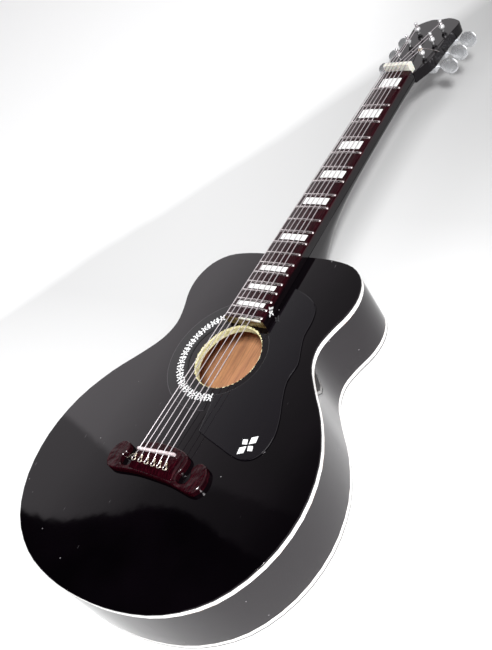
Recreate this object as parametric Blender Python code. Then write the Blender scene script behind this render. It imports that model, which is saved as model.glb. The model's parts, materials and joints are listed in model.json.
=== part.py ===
"""Acoustic guitar, quarter-scale display piece, lying on its back.

Metres, +Z up, +Y from the tail of the body towards the headstock, +X the treble side.
The numbers below are millimetres; Y is counted from the tail end of the body.
"""
import math

import bmesh
import bpy
import numpy as np
from mathutils import Matrix, Vector

MM = 0.001
GAP = 0.04                      # left between two pieces that touch

# Scale, neck and frets
SCALE_LENGTH = 162.0
NUT_Y = 206.2
SADDLE_Y = NUT_Y - SCALE_LENGTH
FRETS = 20
BOARD_END_Y = 94.0
BOARD_HALF_NUT = 5.6
BOARD_HALF_END = 7.8
BOARD_EDGE = 3.2                # fretboard thickness at its long edges
BOARD_CROWN = 0.25
FRET_WIDTH = 0.9
FRET_HEIGHT = 0.42

# Body
TOP_Z = 21.0
TOP_THICK = 2.0
BACK_THICK = 1.8
LIP = 0.5                       # plate edge left beside each binding strip
BIND_THICK = 0.6
WALL = 1.8
HOLE_X = 0.3
HOLE_Y = 81.8
HOLE_R = 11.3
BODY_HALF = [                   # half outline, from the tail to the neck joint
    (0.0, 0.0), (14.4, 1.1), (28.7, 5.2), (41.0, 13.6), (49.1, 26.4), (52.0, 41.2),
    (49.6, 55.8), (42.9, 68.4), (35.4, 77.5), (30.6, 84.3), (29.0, 90.8), (30.3, 97.0),
    (32.6, 103.5), (33.0, 110.0), (30.6, 116.3), (25.4, 120.6), (17.0, 122.5), (8.0, 122.85),
    (0.0, 122.85),
]
NECK_Y = 122.95
BLOCK_Z = (BACK_THICK + GAP, TOP_Z - TOP_THICK - GAP)

# Headstock, tilted back behind the nut
TILT = math.radians(5.0)
HEAD_RISE = 1.6                 # headstock face above the soundboard plane, at the nut
HEAD_THICK = 4.0
HEAD_HALF = [                   # half outline: sideways, along the headstock
    (5.6, 0.25), (6.3, 2.2), (7.6, 5.2), (8.6, 9.0), (8.7, 14.0), (8.6, 19.0), (8.9, 24.5),
    (9.4, 29.2), (9.0, 31.0), (7.2, 32.6), (3.6, 34.1), (1.2, 33.9), (0.0, 33.6),
]
HEAD_TIP = 34.1
TOTAL = NUT_Y + HEAD_TIP * math.cos(TILT)

# Tuners
POST_U = (25.5, 17.75, 9.8)     # along the headstock, outermost first
POST_X = (5.0, 4.85, 4.85)
BALL_R = 1.1
BALL_H = 1.7
TIP_R = 0.66
TIP_H = 4.15
STEM_R = 0.35
POST_R = 0.5
KEY_SHIFT = 1.1                 # worm axis from the post axis, along the headstock
KEY_DROP = HEAD_THICK + 0.95
KEY_R = 0.32
PADDLE_IN = 10.0
PADDLE_OUT = 16.2
PADDLE_HALF = 2.75
HOUSING_IN = 3.1
HOUSING_OUT = 8.6
HOUSING_DEPTH = 2.1
HOUSING_WALL = 0.35

# Strings
STRING_R = 0.14
NUT_STRINGS = (-3.7, -2.2, -0.8, 0.7, 2.4, 4.2)
SADDLE_STRINGS = (-6.7, -4.8, -2.5, 0.2, 2.8, 5.0)
LOOP_X = (-7.7, -5.0, -2.3, 0.4, 2.9, 5.4)
LOOP_Y = 41.6
LOOP_R = 0.62
SADDLE_TOP = 4.25
SADDLE_SLANT = 0.095            # the treble end stands nearer the nut
SADDLE_THICK = 1.0
STRING_NUT_Z = 5.6
WRAP_H = 3.02
WRAP_PITCH = 0.33
WRAP_TURNS = 1.15

# Bridge
BRIDGE_EDGE = 2.0
BRIDGE_PAD = 2.9


def at(x, y, z):
    """A point given in millimetres from the tail, in the part's own frame."""
    return Vector((x * MM, (y - TOTAL / 2) * MM, z * MM))


def head(x, u, h):
    """A point on the tilted headstock: sideways, along it, above its face."""
    y = NUT_Y + u * math.cos(TILT) + h * math.sin(TILT)
    z = TOP_Z + HEAD_RISE - u * math.sin(TILT) + h * math.cos(TILT)
    return at(x, y, z)


def head_matrix(x, u, h):
    """Local X sideways, local Y along the headstock, local Z out of its face."""
    rot = Matrix.Rotation(-TILT, 4, "X")
    return Matrix.Translation(head(x, u, h)) @ rot


def material(name, colour, metallic, roughness):
    mat = bpy.data.materials.get(name)
    if mat is None:
        mat = bpy.data.materials.new(name)
        mat.use_nodes = True
        shader = mat.node_tree.nodes["Principled BSDF"]
        shader.inputs["Base Color"].default_value = (*colour, 1.0)
        shader.inputs["Metallic"].default_value = metallic
        shader.inputs["Roughness"].default_value = roughness
    return mat


def make(name, verts, faces, mat, angle=35.0):
    """A closed object from points in metres; long caps are cut into triangles."""
    mesh = bpy.data.meshes.new(name)
    mesh.from_pydata([tuple(v) for v in verts], [], faces)
    work = bmesh.new()
    work.from_mesh(mesh)
    bmesh.ops.triangulate(work, faces=[f for f in work.faces if len(f.verts) > 4])
    bmesh.ops.recalc_face_normals(work, faces=work.faces)
    work.to_mesh(mesh)
    work.free()
    mesh.shade_smooth()
    mesh.set_sharp_from_angle(angle=math.radians(angle))
    obj = bpy.data.objects.new(name, mesh)
    mesh.materials.append(material(*mat))
    bpy.context.scene.collection.objects.link(obj)
    return obj


def stack(loops, ring=False):
    """Faces between equal loops of points; ring joins the last loop to the first."""
    count = len(loops[0])
    verts = [p for loop in loops for p in loop]
    faces = []
    last = len(loops) if ring else len(loops) - 1
    for i in range(last):
        a = i * count
        b = ((i + 1) % len(loops)) * count
        for k in range(count):
            n = (k + 1) % count
            faces.append((a + k, a + n, b + n, b + k))
    if not ring:
        faces.append(tuple(range(count))[::-1])
        faces.append(tuple(range(a + count, a + 2 * count)))
    return verts, faces


def curve(points, steps, closed=True):
    """Centripetal Catmull-Rom curve through flat points."""
    pts = [np.array(p, float) for p in points]
    out = []
    spans = len(pts) if closed else len(pts) - 1
    for i in range(spans):
        if closed:
            p = [pts[(i + k - 1) % len(pts)] for k in range(4)]
        else:
            p = [pts[min(max(i + k - 1, 0), len(pts) - 1)] for k in range(4)]
            if i == 0:
                p[0] = 2 * p[1] - p[2]
            if i == spans - 1:
                p[3] = 2 * p[2] - p[1]
        t = [0.0]
        for k in range(3):
            t.append(t[-1] + math.sqrt(np.linalg.norm(p[k + 1] - p[k])))
        for s in range(steps):
            w = t[1] + (t[2] - t[1]) * s / steps
            a1 = (t[1] - w) / (t[1] - t[0]) * p[0] + (w - t[0]) / (t[1] - t[0]) * p[1]
            a2 = (t[2] - w) / (t[2] - t[1]) * p[1] + (w - t[1]) / (t[2] - t[1]) * p[2]
            a3 = (t[3] - w) / (t[3] - t[2]) * p[2] + (w - t[2]) / (t[3] - t[2]) * p[3]
            b1 = (t[2] - w) / (t[2] - t[0]) * a1 + (w - t[0]) / (t[2] - t[0]) * a2
            b2 = (t[3] - w) / (t[3] - t[1]) * a2 + (w - t[1]) / (t[3] - t[1]) * a3
            out.append((t[2] - w) / (t[2] - t[1]) * b1 + (w - t[1]) / (t[2] - t[1]) * b2)
    if not closed:
        out.append(pts[-1])
    return np.array(out)


def inset(loop, distance):
    """A flat anticlockwise loop moved inwards along its corner normals."""
    before = loop - np.roll(loop, 1, axis=0)
    after = np.roll(loop, -1, axis=0) - loop
    before /= np.linalg.norm(before, axis=1)[:, None]
    after /= np.linalg.norm(after, axis=1)[:, None]
    normal = np.stack([-(before + after)[:, 1], (before + after)[:, 0]], axis=1)
    normal /= np.linalg.norm(normal, axis=1)[:, None]
    cosine = np.einsum("ij,ij->i", normal, np.stack([-before[:, 1], before[:, 0]], axis=1))
    return loop + normal * (distance / np.maximum(cosine, 0.7))[:, None]


def flat(loop, z):
    return [at(x, y, z) for x, y in loop]


def mirrored(half):
    """A whole outline, anticlockwise, from its +X half given in rising order."""
    other = [(-x, y) for x, y in reversed(half) if x > 0]
    return list(half) + other


def cut(target, cutter, operation="DIFFERENCE"):
    mod = target.modifiers.new("cut", "BOOLEAN")
    mod.operation = operation
    mod.solver = "EXACT"
    mod.object = cutter
    cutter.hide_render = True
    cutter.display_type = "WIRE"


def cylinder(name, matrix, radius, low, high, sides=32):
    """A plain cylinder about the local Z of a matrix, used to cut or to join."""
    loops = []
    for z in (low, high):
        ring = []
        for k in range(sides):
            a = 2 * math.pi * k / sides
            ring.append(matrix @ Vector((radius * math.cos(a) * MM, radius * math.sin(a) * MM, z * MM)))
        loops.append(ring)
    return make(name, *stack(loops), ("cutter", (0.5, 0.5, 0.5), 0.0, 0.5))


def turned(profile, sides=24):
    """Loops of a turned solid: (radius, height) pairs in millimetres, about local Z."""
    loops = []
    for r, h in profile:
        ring = []
        for k in range(sides):
            a = 2 * math.pi * k / sides
            ring.append(Vector((r * math.cos(a) * MM, r * math.sin(a) * MM, h * MM)))
        loops.append(ring)
    return stack(loops)


def tube(points, radius, sides=6):
    """Loops of a round wire along points in metres, carried without twisting."""
    pts = [Vector(p) for p in points]
    loops = []
    side = None
    for i, p in enumerate(pts):
        ahead = pts[min(i + 1, len(pts) - 1)] - p
        behind = p - pts[max(i - 1, 0)]
        tangent = (ahead.normalized() + behind.normalized()).normalized()
        if side is None:
            side = tangent.orthogonal().normalized()
        side = (side - tangent * side.dot(tangent)).normalized()
        up = tangent.cross(side)
        ring = []
        for k in range(sides):
            a = 2 * math.pi * (k + 0.5) / sides
            ring.append(p + (side * math.cos(a) + up * math.sin(a)) * radius * MM)
        loops.append(ring)
    return stack(loops)


BLACK = ("black_lacquer", (0.006, 0.006, 0.007), 0.0, 0.06)
IVORY = ("white_binding", (0.86, 0.85, 0.82), 0.0, 0.35)
CREAM = ("cream_nut", (0.80, 0.76, 0.64), 0.0, 0.4)
ROSEWOOD = ("red_brown_wood", (0.085, 0.012, 0.012), 0.0, 0.2)
RAW = ("raw_wood", (0.55, 0.34, 0.18), 0.0, 0.6)
STEEL = ("bright_steel", (0.72, 0.71, 0.69), 1.0, 0.22)
GUARD = ("black_plastic", (0.012, 0.012, 0.014), 0.0, 0.12)
FILM = ("printed_film", (0.05, 0.05, 0.055), 0.0, 0.25)


def outline():
    return curve(mirrored(BODY_HALF), 3)


def soundboard():
    edge = outline()
    inner = inset(edge, BIND_THICK + GAP)
    step = TOP_Z - LIP
    loops = [flat(inner, TOP_Z - TOP_THICK), flat(inner, step), flat(edge, step)]
    loops += [flat(edge, TOP_Z - 0.18), flat(inset(edge, 0.18), TOP_Z)]
    board = make("soundboard", *stack(loops), BLACK)
    place = Matrix.Translation(at(HOLE_X, HOLE_Y, TOP_Z - TOP_THICK))
    cut(board, cylinder("cut_sound_hole", place, HOLE_R, -1.0, TOP_THICK + 1.0, 64))


def back():
    edge = outline()
    inner = inset(edge, BIND_THICK + GAP)
    loops = [flat(inset(edge, 0.18), 0.0), flat(edge, 0.18), flat(edge, LIP), flat(inner, LIP)]
    loops += [flat(inner, BACK_THICK)]
    make("back", *stack(loops), BLACK)


def rim():
    edge = outline()
    inner = inset(edge, WALL)
    low, high = BLOCK_Z
    make("rim", *stack([flat(edge, low), flat(edge, high), flat(inner, high), flat(inner, low)], True), BLACK)


def binding(name, low, high):
    edge = outline()
    inner = inset(edge, BIND_THICK)
    make(name, *stack([flat(edge, low), flat(edge, high), flat(inner, high), flat(inner, low)], True), IVORY)


def box(name, x, y, z, mat):
    loops = []
    for level in z:
        corners = ((x[0], y[0]), (x[1], y[0]), (x[1], y[1]), (x[0], y[1]))
        loops.append([at(corner[0], corner[1], level) for corner in corners])
    return make(name, *stack(loops), mat)


def board_half(y):
    """Half the width of the fretboard at a distance from the tail."""
    return BOARD_HALF_NUT + (NUT_Y - y) * (BOARD_HALF_END - BOARD_HALF_NUT) / (NUT_Y - BOARD_END_Y)


def board_top(x, y):
    return TOP_Z + BOARD_EDGE + BOARD_CROWN * (1 - (x / board_half(y)) ** 2)


def fretboard():
    loops = []
    for y in (BOARD_END_Y, NUT_Y - GAP):
        half = board_half(y)
        ring = [at(half, y, TOP_Z + GAP)]
        for k in range(9):
            x = half * (1 - k / 4)
            ring.append(at(x, y, board_top(x, y)))
        ring.append(at(-half, y, TOP_Z + GAP))
        loops.append(ring)
    make("fretboard", *stack(loops), ROSEWOOD)


def fret_y(number):
    return NUT_Y - SCALE_LENGTH * (1 - 2 ** (-number / 12))


def fret(number):
    """A half-round wire lying across the fretboard, its ends dressed down."""
    y = fret_y(number)
    reach = board_half(y) - 0.3
    loops = []
    for k in range(-5, 6):
        x = reach * max(-1, min(1, k / 4.4))
        if abs(k) == 4:
            x = math.copysign(reach - 0.35, k)
        scale = 0.35 if abs(k) == 5 else 1.0
        base = board_top(x, y) + GAP
        ring = []
        for j in range(6):
            a = math.pi * j / 5
            ring.append(at(x, y - FRET_WIDTH / 2 * math.cos(a) * (0.7 + 0.3 * scale),
                           base + FRET_HEIGHT * scale * math.sin(a)))
        loops.append(ring)
    make("fret_%02d" % number, *stack(loops), STEEL, 60.0)


def neck_sections():
    """(distance from tail, half width, depth below the soundboard plane, taper)."""
    shape = [
        (NECK_Y, 7.3, 18.6, 0.42), (126.0, 7.2, 17.8, 0.40), (130.0, 7.1, 15.4, 0.36),
        (134.0, 7.0, 12.6, 0.30), (138.0, 6.9, 10.0, 0.24), (143.0, 6.85, 7.4, 0.16),
        (149.0, 6.75, 5.2, 0.08), (156.0, 6.6, 3.9, 0.03), (165.0, 6.4, 3.2, 0.0),
        (180.0, 6.1, 2.9, 0.0), (194.0, 5.85, 3.0, 0.0), (202.0, 5.7, 3.4, 0.0),
        (206.5, 5.6, 3.7, 0.0), (210.5, 5.4, 3.3, 0.0), (214.0, 4.6, 2.2, 0.0),
    ]
    return shape


def neck():
    """Heel, neck and headstock in one piece, bored for the six posts."""
    loops = []
    for y, half, depth, taper in neck_sections():
        ring = []
        for k in range(19):
            a = math.pi * k / 18
            drop = math.sin(a) ** 0.85
            x = half * math.copysign(abs(math.cos(a)) ** 0.9, math.cos(a)) * (1 - taper * drop)
            ring.append(at(x, y, TOP_Z - depth * drop))
        loops.append(ring)
    body = make("neck", *stack(loops), BLACK, 40.0)
    half = [(x, u) for x, u in HEAD_HALF]
    shape = curve(half, 3, closed=False)
    right = [tuple(p) for p in shape]
    whole = np.array(right + [(-x, u) for x, u in reversed(right[:-1])])
    slim = inset(whole, 0.22)
    loops = [[head(x, u, -HEAD_THICK) for x, u in slim], [head(x, u, 0.22 - HEAD_THICK) for x, u in whole]]
    loops += [[head(x, u, -0.22) for x, u in whole], [head(x, u, 0.0) for x, u in slim]]
    cut(body, make("join_headstock", *stack(loops), BLACK), "UNION")
    for side, i in posts():
        place = head_matrix(side * POST_X[i], POST_U[i], 0.0)
        hole = "cut_post_%s" % post_name(side, i)
        cut(body, cylinder(hole, place, POST_R + 0.12, -HEAD_THICK - 1, 1.0, 24))


def posts():
    return [(side, i) for side in (-1, 1) for i in range(3)]


def post_name(side, i):
    return ("bass_%d" if side < 0 else "treble_%d") % (3 - i)


def nut():
    """A tall block on the start of the headstock, grooved for the strings."""
    front = NUT_Y + GAP
    rear = front + 2.6
    loops = []
    for x in (-5.1, 5.1):
        low = []
        for y in (front, rear):
            face = TOP_Z + HEAD_RISE - (y - NUT_Y) * math.tan(TILT) + 2 * GAP
            low.append(at(x, y, face))
        ring = [low[0], low[1], at(x, rear, TOP_Z + 5.1), at(x, rear - 0.7, TOP_Z + 5.6)]
        ring.append(at(x, front, TOP_Z + 5.75))
        loops.append(ring)
    block = make("nut", *stack(loops), CREAM)
    for k in range(6):
        a, b = string_line(k)
        start = a + (b - a) * 0.98
        axis = (b - a).normalized()
        turn = Vector((0, 0, 1)).rotation_difference(axis).to_matrix().to_4x4()
        along = Matrix.Translation(start) @ turn
        groove = cylinder("cut_groove_%d" % (k + 1), along, STRING_R + 0.06, 0.0, 8.0, 12)
        cut(block, groove)


def string_line(k):
    """The straight run of one string: over the saddle, and at the nut."""
    a = at(SADDLE_STRINGS[k], saddle_y(SADDLE_STRINGS[k]), TOP_Z + SADDLE_TOP + GAP + STRING_R)
    b = at(NUT_STRINGS[k], NUT_Y, TOP_Z + STRING_NUT_Z)
    return a, b


def saddle_y(x):
    """Where the slanted saddle stands, from the tail."""
    return SADDLE_Y + 0.75 + SADDLE_SLANT * x


def saddle():
    """A thin upright strip with a rounded crown."""
    half = SADDLE_THICK / 2
    loops = []
    for x in (-8.0, 6.4):
        y = saddle_y(x)
        ring = [at(x, y - half, TOP_Z + BRIDGE_PAD + GAP), at(x, y + half, TOP_Z + BRIDGE_PAD + GAP)]
        for j in range(7):
            a = math.pi * j / 6
            ring.append(at(x, y + half * math.cos(a), TOP_Z + SADDLE_TOP - half + half * math.sin(a)))
        loops.append(ring)
    make("saddle", *stack(loops), IVORY)


def bridge():
    """A moustache shape: two curled ends, each open to the front, and a raised middle."""
    half = [
        (0.0, 37.9), (6.4, 37.8), (11.6, 37.2), (15.4, 36.7), (17.6, 37.0), (19.1, 38.9),
        (19.5, 41.4), (18.6, 44.2), (16.9, 45.8), (15.0, 46.0), (13.6, 44.9), (13.3, 43.1),
        (14.2, 41.2), (13.8, 39.4), (11.9, 38.6), (9.9, 39.2), (9.4, 40.8), (10.0, 43.0),
        (10.0, 45.8), (8.4, 47.4), (4.4, 48.3), (0.0, 48.5),
    ]
    shape = curve(mirrored(half), 3)
    slim = inset(shape, 0.3)
    loops = [flat(shape, TOP_Z + GAP)]
    loops.append(flat(shape, TOP_Z + BRIDGE_EDGE - 0.3))
    loops.append(flat(slim, TOP_Z + BRIDGE_EDGE))
    body = make("bridge", *stack(loops), ROSEWOOD)
    low = np.array([(-8.8, 38.4), (8.8, 38.4), (9.2, 46.0), (7.6, 47.2), (-7.6, 47.2), (-9.2, 46.0)])
    high = np.array([(-8.5, 40.9), (8.5, 40.9), (8.9, 45.7), (7.3, 46.8), (-7.3, 46.8), (-8.9, 45.7)])
    pad = make("join_pad", *stack([flat(low, TOP_Z + 1.0), flat(low, TOP_Z + BRIDGE_EDGE + 0.1),
                                   flat(high, TOP_Z + BRIDGE_PAD)]), ROSEWOOD)
    cut(body, pad, "UNION")


def pickguard():
    """A thin plate from the neck round the sound hole and down beside the bridge."""
    outer = [
        (6.4, 55.7), (10.4, 54.4), (16.2, 52.8), (21.7, 51.3), (25.8, 50.9), (29.3, 52.2),
        (31.7, 55.6), (32.0, 60.4), (30.4, 66.0), (28.0, 71.4), (25.9, 77.6), (26.2, 83.6),
        (24.3, 88.8), (22.7, 93.6), (22.5, 99.0), (20.8, 104.2), (16.0, 107.6), (9.6, 110.0),
    ]
    run = [tuple(p) for p in curve(outer, 3, closed=False)]
    start = math.atan2(92.4 - HOLE_Y, 9.4)
    end = math.atan2(68.6 - HOLE_Y, 3.9)
    for k in range(19):
        a = start + (end - start) * k / 18
        run.append((14.05 * math.cos(a), HOLE_Y + 14.05 * math.sin(a)))
    plate = np.array(run)
    slim = inset(plate, 0.12)
    loops = [flat(plate, TOP_Z + GAP), flat(plate, TOP_Z + 0.32), flat(slim, TOP_Z + 0.45)]
    make("pickguard", *stack(loops), GUARD)


def rosette():
    """The printed film, an open ring beside the sound hole."""
    cx, cy = -1.5, 82.5
    loop = []
    for radius, first, last in ((20.6, 109.0, 283.5), (13.0, 285.0, 121.0)):
        for k in range(31):
            a = math.radians(first + (last - first) * k / 30)
            loop.append((cx + radius * math.cos(a), cy + radius * math.sin(a)))
    make("rosette", *stack([flat(loop, TOP_Z + GAP), flat(loop, TOP_Z + GAP + 0.08)]), FILM)


def wrap(side, i, start):
    """Points of a string from the nut once round its post, in headstock measure."""
    x0 = side * POST_X[i]
    u0 = POST_U[i]
    radius = STEM_R + GAP + 0.02 + STRING_R
    base = math.atan2(start[1] - u0, start[0] - x0)
    reach = math.hypot(start[0] - x0, start[1] - u0)
    angle = base - side * math.acos(radius / reach)
    points = []
    steps = 20
    for k in range(steps + 1):
        turn = 2 * math.pi * WRAP_TURNS * k / steps
        a = angle - side * turn
        h = WRAP_H + WRAP_PITCH * WRAP_TURNS * k / steps
        points.append((x0 + radius * math.cos(a), u0 + radius * math.sin(a), h))
    return points


def string(k):
    """One wire: eye behind the saddle, over the saddle, through the nut, round its post."""
    eye_z = TOP_Z + BRIDGE_PAD + GAP + STRING_R + 0.05
    path = []
    for j in range(12):
        a = math.radians(120 + 300 * (11 - j) / 11)
        path.append(at(LOOP_X[k] + LOOP_R * math.cos(a), LOOP_Y + LOOP_R * math.sin(a) - LOOP_R,
                       eye_z + 0.35 * (j / 11) ** 3))
    line_a, line_b = string_line(k)
    radius = SADDLE_THICK / 2 + GAP + STRING_R
    for j in range(5):
        a = math.radians(150 - 60 * j / 4)
        shift = (SADDLE_STRINGS[k] - LOOP_X[k]) * 0.12 * (4 - j) / 4
        path.append(at(SADDLE_STRINGS[k] - shift, saddle_y(SADDLE_STRINGS[k]) + radius * math.cos(a),
                       TOP_Z + SADDLE_TOP - SADDLE_THICK / 2 + radius * math.sin(a)))
    path.append(line_b)
    past = line_b + (line_b - line_a).normalized() * 2.3 * MM
    path.append(past)
    side = -1 if k < 3 else 1
    i = 2 - k if k < 3 else k - 3
    dy = past.y / MM + TOTAL / 2 - NUT_Y
    dz = past.z / MM - TOP_Z - HEAD_RISE
    start = (past.x / MM, dy * math.cos(TILT) - dz * math.sin(TILT))
    for point in wrap(side, i, start):
        path.append(head(*point))
    if k == 5:
        for step in ((1.6, 0.3, -0.4), (3.4, 0.4, -0.9), (5.2, 0.2, -1.4), (6.9, -0.1, -1.8)):
            last = wrap(side, i, start)[-1]
            path.append(head(last[0] + step[0], last[1] + step[1], last[2] + step[2]))
    make("string_%d" % (k + 1), *tube(path, STRING_R), STEEL, 50.0)


def post(side, i):
    """Turned post: ball, thin neck and small tip above the face, gear disc below."""
    profile = [(0.62, -HEAD_THICK - 1.6), (0.62, -HEAD_THICK - 0.5)]
    profile += [(POST_R, -HEAD_THICK - 0.45), (POST_R, 0.25)]
    for k in range(8):
        a = math.radians(-55 + k * 18.0)
        profile.append((BALL_R * math.cos(a), BALL_H + BALL_R * math.sin(a)))
    profile.append((STEM_R, BALL_H + BALL_R - 0.04))
    profile.append((STEM_R, TIP_H - TIP_R + 0.08))
    for k in range(7):
        a = math.radians(-40 + k * 20.0)
        profile.append((TIP_R * math.cos(a), TIP_H + TIP_R * math.sin(a)))
    obj = make("post_" + post_name(side, i), *turned(profile, 16), STEEL, 50.0)
    obj.matrix_world = head_matrix(side * POST_X[i], POST_U[i], 0.0)


def key(side, i):
    """Worm shaft and flat paddle, about a shaft that runs sideways."""
    name = "key_" + post_name(side, i)
    loops = []
    middle = (PADDLE_IN + PADDLE_OUT) / 2
    sections = ((3.7, KEY_R, KEY_R), (PADDLE_IN - 0.5, KEY_R, KEY_R), (PADDLE_IN - 0.3, 0.55, 0.55),
                (PADDLE_IN, 1.1, 0.5), (PADDLE_IN + 0.7, 2.1, 0.42), (middle - 1.2, PADDLE_HALF, 0.42),
                (middle + 1.0, PADDLE_HALF, 0.42), (PADDLE_OUT - 0.8, 2.15, 0.42), (PADDLE_OUT, 1.2, 0.3))
    for x, half, thick in sections:
        ring = []
        for k in range(16):
            a = 2 * math.pi * k / 16
            ring.append(Vector((side * (x - 9.0) * MM, thick * math.cos(a) * MM, half * math.sin(a) * MM)))
        loops.append(ring)
    obj = make(name, *stack(loops), STEEL, 50.0)
    lean = Matrix.Rotation(math.radians(-18.0), 4, "X")
    obj.matrix_world = head_matrix(side * 9.0, POST_U[i] + KEY_SHIFT, -KEY_DROP) @ lean


def housing(side, i):
    """A pressed cover on the back of the headstock, open to its post and its key."""
    name = "housing_" + post_name(side, i)
    u0 = POST_U[i]
    x_range = (HOUSING_IN, HOUSING_OUT)
    u_range = (u0 - 1.3, u0 + KEY_SHIFT + 0.95)
    top = -HEAD_THICK - GAP

    def ring(x_low, x_high, u_low, u_high, h):
        corners = [(x_low, u_low), (x_high, u_low), (x_high, u_high), (x_low, u_high)]
        return [head(side * x, u, h) for x, u in corners]

    w = HOUSING_WALL
    chamfer = 0.3
    outer = [ring(*x_range, *u_range, top), ring(*x_range, *u_range, top - HOUSING_DEPTH + chamfer)]
    outer.append(ring(x_range[0] + chamfer, x_range[1] - chamfer,
                      u_range[0] + chamfer, u_range[1] - chamfer, top - HOUSING_DEPTH))
    body = make(name, *stack(outer), STEEL)
    inner = []
    for h in (top - HOUSING_DEPTH + w + 0.05, top + 1.0):
        inner.append(ring(x_range[0] + w, x_range[1] - w, u_range[0] + w, u_range[1] - w, h))
    cut(body, make("cut_room_" + name, *stack(inner), STEEL))
    place = head_matrix(side * 6.0, u0 + KEY_SHIFT, -KEY_DROP) @ Matrix.Rotation(side * math.pi / 2, 4, "Y")
    cut(body, cylinder("cut_" + name, place, KEY_R + 0.1, 1.5, 4.0, 16))


def build():
    for obj in list(bpy.data.objects):
        bpy.data.objects.remove(obj, do_unlink=True)
    soundboard()
    back()
    rim()
    binding("top_binding", TOP_Z - TOP_THICK, TOP_Z - LIP - GAP)
    binding("back_binding", LIP + GAP, BACK_THICK)
    box("neck_block", (-12.0, 12.0), (111.0, 120.6), BLOCK_Z, RAW)
    box("tail_block", (-8.0, 8.0), (2.7, 8.5), BLOCK_Z, RAW)
    fretboard()
    for number in range(1, FRETS + 1):
        fret(number)
    neck()
    nut()
    bridge()
    saddle()
    pickguard()
    rosette()
    for side, i in posts():
        post(side, i)
        key(side, i)
        housing(side, i)
    for k in range(6):
        string(k)


build()
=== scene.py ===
"""Looks of the miniature acoustic guitar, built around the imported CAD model."""
import json
import math
import random

import bpy
from mathutils import Matrix, Vector

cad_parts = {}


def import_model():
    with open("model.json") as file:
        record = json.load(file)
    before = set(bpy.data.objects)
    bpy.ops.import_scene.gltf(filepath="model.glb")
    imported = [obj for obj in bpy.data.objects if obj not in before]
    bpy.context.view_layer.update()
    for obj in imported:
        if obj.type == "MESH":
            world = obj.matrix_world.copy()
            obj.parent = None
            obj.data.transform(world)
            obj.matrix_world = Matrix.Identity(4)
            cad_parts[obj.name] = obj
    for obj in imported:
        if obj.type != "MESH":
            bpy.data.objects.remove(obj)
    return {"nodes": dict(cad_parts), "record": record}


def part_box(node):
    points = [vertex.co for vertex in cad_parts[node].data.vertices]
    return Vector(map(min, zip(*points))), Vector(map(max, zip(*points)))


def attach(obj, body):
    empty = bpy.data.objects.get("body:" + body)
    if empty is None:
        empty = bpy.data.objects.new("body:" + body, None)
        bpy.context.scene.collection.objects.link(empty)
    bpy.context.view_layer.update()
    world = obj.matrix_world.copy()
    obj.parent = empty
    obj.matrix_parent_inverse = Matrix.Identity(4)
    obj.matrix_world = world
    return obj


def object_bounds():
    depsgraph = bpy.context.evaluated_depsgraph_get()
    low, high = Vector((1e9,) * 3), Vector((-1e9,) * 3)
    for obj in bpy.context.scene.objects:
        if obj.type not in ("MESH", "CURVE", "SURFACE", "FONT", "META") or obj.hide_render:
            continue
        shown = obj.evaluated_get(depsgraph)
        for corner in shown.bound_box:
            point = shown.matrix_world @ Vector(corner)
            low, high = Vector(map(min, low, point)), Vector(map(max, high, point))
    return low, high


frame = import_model()
cad_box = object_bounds()

MM = 0.001
NODES = frame["nodes"]
FIXED = "guitar"

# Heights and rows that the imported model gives, in millimetres of the row frame.
TAIL = cad_box[0].y / MM
TOP = 21.0
BOARD_LOW, BOARD_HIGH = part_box("fretboard")
NUT_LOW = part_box("nut")[0]
OPENINGS = {o["name"]: o["box_m"] for o in frame["record"]["physics"]["openings"]}
HOLE_LOW, HOLE_HIGH = OPENINGS["sound_hole"]
HOLE_X = (HOLE_LOW[0] + HOLE_HIGH[0]) / 2 / MM
HOLE_Y = (HOLE_LOW[1] + HOLE_HIGH[1]) / 2 / MM
HOLE_R = 11.3
TILT = math.radians(5.0)
HEAD_TOP = 22.6
NUT_Y = 206.2 + TAIL
LACE_X = -1.5
LACE_Y = 82.5 + TAIL
BOARD_EDGE = 24.2
BOARD_CROWN = 0.25
BOARD_HALF = (7.8, 5.6)             # half widths at the body end and at the nut
PRINT_LOW, PRINT_HIGH = TOP + 0.10, TOP + 0.15
BRIDGE_PAD = TOP + 2.9


# ---------------------------------------------------------------- materials

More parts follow.
